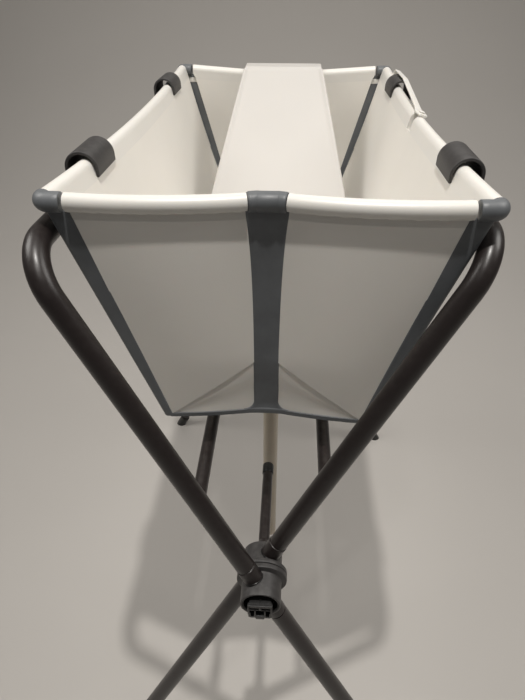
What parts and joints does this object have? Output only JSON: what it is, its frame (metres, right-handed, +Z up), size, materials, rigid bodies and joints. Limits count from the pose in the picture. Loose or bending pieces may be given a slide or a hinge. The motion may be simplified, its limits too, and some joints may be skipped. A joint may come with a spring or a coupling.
{
  "type": "folding baby bath on a stand",
  "caption": "Foldable baby bath with soft grey corner strips, a newborn support and a drain hose, held by its rims on a crossed-leg folding stand of dark tube.",
  "frame": {"origin": "on the floor, under the middle of the bath", "axes": "+Z up; +Y along the bath, from the end with the release button to the end with the newborn support; +X to the side with the folding strap"},
  "size_m": [0.6698, 1.0122, 1.1004],
  "materials": {
    "tube_paint": "satin warm dark grey powder coat",
    "axle_steel": "satin",
    "hub_grey": "satin moulded dark grey",
    "hook_grey": "satin moulded dark grey",
    "button_black": "matte moulded black",
    "foot_black": "matte",
    "panel_white": "fine matte grain, warm white",
    "support_white": "satin white",
    "strap_white": "satin white",
    "soft_grey": "satin soft moulded grey",
    "gusset_grey": "thin matte soft sheet",
    "plug_grey": "satin",
    "drain_grey": "satin",
    "hose_beige": "translucent satin"
  },
  "bodies": {
    "core": {"axle_front": "axle_steel", "axle_rear": "axle_steel", "collar_rear": "axle_steel", "stub_rod": "tube_paint", "stub_cap": "foot_black"},
    "centre_front": {"centre_front": "soft_grey"},
    "centre_rear": {"centre_rear": "soft_grey"},
    "frame_a": {"upper_tube_a": "tube_paint", "leg_front_a": "tube_paint", "leg_rear_a": "tube_paint", "foot_front_a": "foot_black", "foot_rear_a": "foot_black", "cross_bar_a": "tube_paint", "hub_outer_a": "hub_grey", "hub_inner_a": "hub_grey", "hook_front_a": "hook_grey", "hook_rear_a": "hook_grey", "side_panel_a": "panel_white", "corner_front_a": "soft_grey", "corner_rear_a": "soft_grey"},
    "frame_b": {"upper_tube_b": "tube_paint", "leg_front_b": "tube_paint", "leg_rear_b": "tube_paint", "foot_front_b": "foot_black", "foot_rear_b": "foot_black", "cross_bar_b": "tube_paint", "hub_outer_b": "hub_grey", "hub_inner_b": "hub_grey", "hook_front_b": "hook_grey", "hook_rear_b": "hook_grey", "side_panel_b": "panel_white", "hub_cap": "hub_grey", "clasp_pin": "hook_grey", "corner_front_b": "soft_grey", "corner_rear_b": "soft_grey"},
    "end_front_a": {"end_front_a": "panel_white", "gusset_front_a": "gusset_grey"},
    "end_front_b": {"end_front_b": "panel_white", "gusset_front_b": "gusset_grey"},
    "end_rear_a": {"end_rear_a": "panel_white", "gusset_rear_a": "gusset_grey"},
    "end_rear_b": {"end_rear_b": "panel_white", "gusset_rear_b": "gusset_grey"},
    "floor_a": {"floor_a": "panel_white"},
    "floor_b": {"floor_b": "panel_white"},
    "drain": {"drain_fitting": "drain_grey", "drain_nut": "drain_grey", "floor_strip": "gusset_grey", "hose_cuff": "drain_grey", "hose": "hose_beige"},
    "plug": {"drain_plug": "plug_grey"},
    "support": {"newborn_support": "support_white"},
    "button": {"release_button": "button_black"},
    "strap": {"clasp_strap": "strap_white"}
  },
  "joints": [
    {"name": "fold_a", "type": "hinge", "parent": "core", "child": "frame_a", "pos_m": [0, 0, 0.652], "axis": [0, 1, 0], "range_deg": [0, 10], "deforming": ["gusset_front_a", "gusset_front_b", "gusset_rear_a", "gusset_rear_b", "corner_front_a", "corner_front_b", "corner_rear_a", "corner_rear_b", "centre_front", "centre_rear", "floor_strip"]},
    {"name": "fold_b", "type": "hinge", "parent": "core", "child": "frame_b", "pos_m": [0, 0, 0.652], "axis": [0, -1, 0], "range_deg": [0, 10]},
    {"name": "turn_front_a", "type": "hinge", "parent": "frame_a", "child": "end_front_a", "pos_m": [-0.17, -0.332, 1.083], "axis": [-0.2587, 0, 0.966], "range_deg": [0, 54.86]},
    {"name": "turn_front_b", "type": "hinge", "parent": "frame_b", "child": "end_front_b", "pos_m": [0.17, -0.332, 1.083], "axis": [-0.2587, 0, -0.966], "range_deg": [0, 54.86]},
    {"name": "turn_rear_a", "type": "hinge", "parent": "frame_a", "child": "end_rear_a", "pos_m": [-0.17, 0.332, 1.083], "axis": [0.2587, 0, -0.966], "range_deg": [0, 54.86]},
    {"name": "turn_rear_b", "type": "hinge", "parent": "frame_b", "child": "end_rear_b", "pos_m": [0.17, 0.332, 1.083], "axis": [0.2587, 0, 0.966], "range_deg": [0, 54.86]},
    {"name": "floor_drop_a", "type": "hinge", "parent": "frame_a", "child": "floor_a", "pos_m": [-0.108, 0, 0.845], "axis": [0, 1, 0], "range_deg": [0, 43.7]},
    {"name": "floor_drop_b", "type": "hinge", "parent": "frame_b", "child": "floor_b", "pos_m": [0.108, 0, 0.845], "axis": [0, -1, 0], "range_deg": [0, 43.7]},
    {"name": "lean_front", "type": "hinge", "parent": "core", "child": "centre_front", "pos_m": [0, -0.3101, 0.5018], "axis": [-1, 0, 0], "range_deg": [0, 11.25]},
    {"name": "lean_rear", "type": "hinge", "parent": "core", "child": "centre_rear", "pos_m": [0, 0.3101, 0.5018], "axis": [1, 0, 0], "range_deg": [0, 11.25]},
    {"name": "drain_drop", "type": "slide", "parent": "core", "child": "drain", "axis": [0, 0, -1], "range_m": [0, 0.055]},
    {"name": "plug_lift", "type": "slide", "parent": "drain", "child": "plug", "axis": [0, 0, 1], "range_m": [0, 0.015]},
    {"name": "support_lift", "type": "slide", "parent": "core", "child": "support", "axis": [0, 0, 1], "range_m": [0, 0.36]},
    {"name": "button_press", "type": "slide", "parent": "frame_a", "child": "button", "axis": [0, 1, 0], "range_m": [0, 0.0055], "stiffness_N_per_m": 600, "springref_m": -0.002},
    {"name": "strap_swing", "type": "hinge", "parent": "frame_b", "child": "strap", "pos_m": [0.187, 0, 1.083], "axis": [0.3067, 0, 0.9518], "range_deg": [0, 90]}
  ],
  "couplings": [
    {"joint": "fold_b", "follows": "fold_a", "ratio": 1},
    {"joint": "turn_front_a", "follows": "fold_a", "ratio": 5.486},
    {"joint": "turn_front_b", "follows": "fold_a", "ratio": 5.486},
    {"joint": "turn_rear_a", "follows": "fold_a", "ratio": 5.486},
    {"joint": "turn_rear_b", "follows": "fold_a", "ratio": 5.486},
    {"joint": "lean_front", "follows": "fold_a", "ratio": 1.123},
    {"joint": "lean_rear", "follows": "fold_a", "ratio": 1.123},
    {"joint": "floor_drop_a", "follows": "fold_a", "ratio": 4.37},
    {"joint": "floor_drop_b", "follows": "fold_a", "ratio": 4.37},
    {"joint": "drain_drop", "follows": "fold_a", "m_per_rad": 0.31455},
    {"joint": "support_lift", "follows": "fold_a", "m_per_rad": 2.0615}
  ]
}
